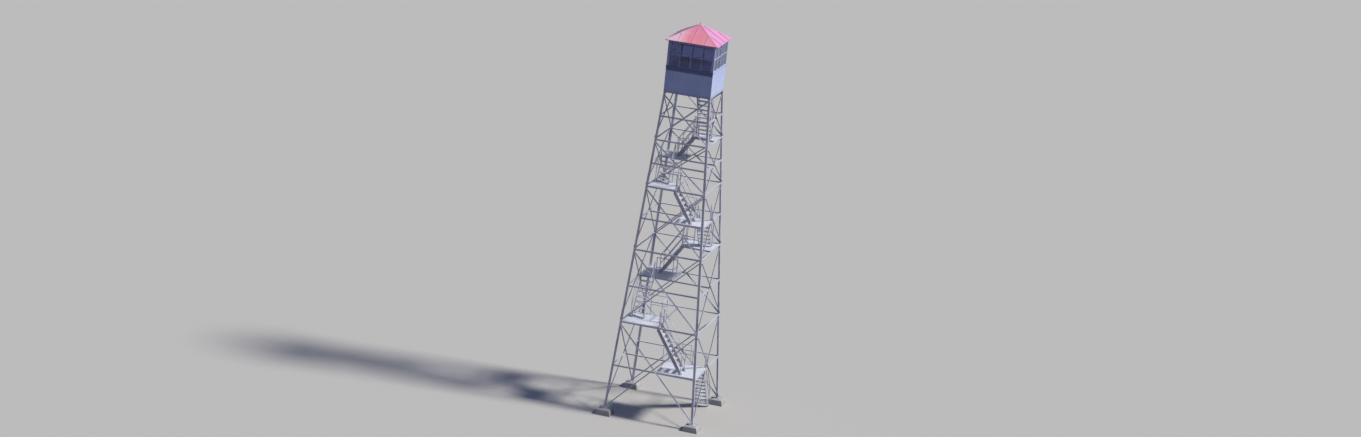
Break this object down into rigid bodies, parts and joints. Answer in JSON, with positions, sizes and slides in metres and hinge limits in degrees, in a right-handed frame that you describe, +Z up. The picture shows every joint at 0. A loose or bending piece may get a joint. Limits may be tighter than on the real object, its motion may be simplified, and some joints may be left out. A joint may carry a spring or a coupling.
{
  "type": "fire lookout tower",
  "caption": "Open steel lattice tower with a small square glazed cab under a low red hipped roof, and a steep stair with landings inside the lattice.",
  "frame": {"origin": "on the ground under the middle of the tower", "axes": "+Z up, +X east towards the narrow sunlit side of the picture, -Y south towards its wide side"},
  "size_m": [4.7938, 4.7938, 17.9467],
  "materials": {
    "galvanised_steel": "dull weathered zinc",
    "cab_sheet": "pale grey paint, satin",
    "roof_paint": "sun-faded red paint",
    "window_glass": "clear",
    "floor_boards": "worn boards",
    "concrete": "cast concrete"
  },
  "bodies": {
    "root": {"braces_east": "galvanised_steel", "braces_north": "galvanised_steel", "braces_south": "galvanised_steel", "braces_west": "galvanised_steel", "cab_floor": "floor_boards", "cab_floor_beams": "galvanised_steel", "corner_posts": "cab_sheet", "footings": "concrete", "girts_east": "galvanised_steel", "girts_north": "galvanised_steel", "girts_south": "galvanised_steel", "girts_west": "galvanised_steel", "glass_east": "window_glass", "glass_north": "window_glass", "glass_south": "window_glass", "glass_west": "window_glass", "hatch_coaming": "galvanised_steel", "head_rails": "cab_sheet", "landing_decks": "galvanised_steel", "landing_joists": "galvanised_steel", "landing_rails": "galvanised_steel", "leg_fittings": "galvanised_steel", "leg_north_east": "galvanised_steel", "leg_north_west": "galvanised_steel", "leg_south_east": "galvanised_steel", "leg_south_west": "galvanised_steel", "roof_cap": "roof_paint", "roof_hips": "roof_paint", "roof_rafters": "galvanised_steel", "roof_sheets": "roof_paint", "shoe_plates": "galvanised_steel", "stair_handrails": "galvanised_steel", "stair_stringers": "galvanised_steel", "treads_lower": "galvanised_steel", "treads_middle": "galvanised_steel", "treads_upper": "galvanised_steel", "wall_east": "cab_sheet", "wall_north": "cab_sheet", "wall_south": "cab_sheet", "wall_west": "cab_sheet", "window_frame_east": "cab_sheet", "window_frame_north": "cab_sheet", "window_frame_south": "cab_sheet", "window_frame_west": "cab_sheet", "window_sills": "cab_sheet"}
  },
  "joints": []
}
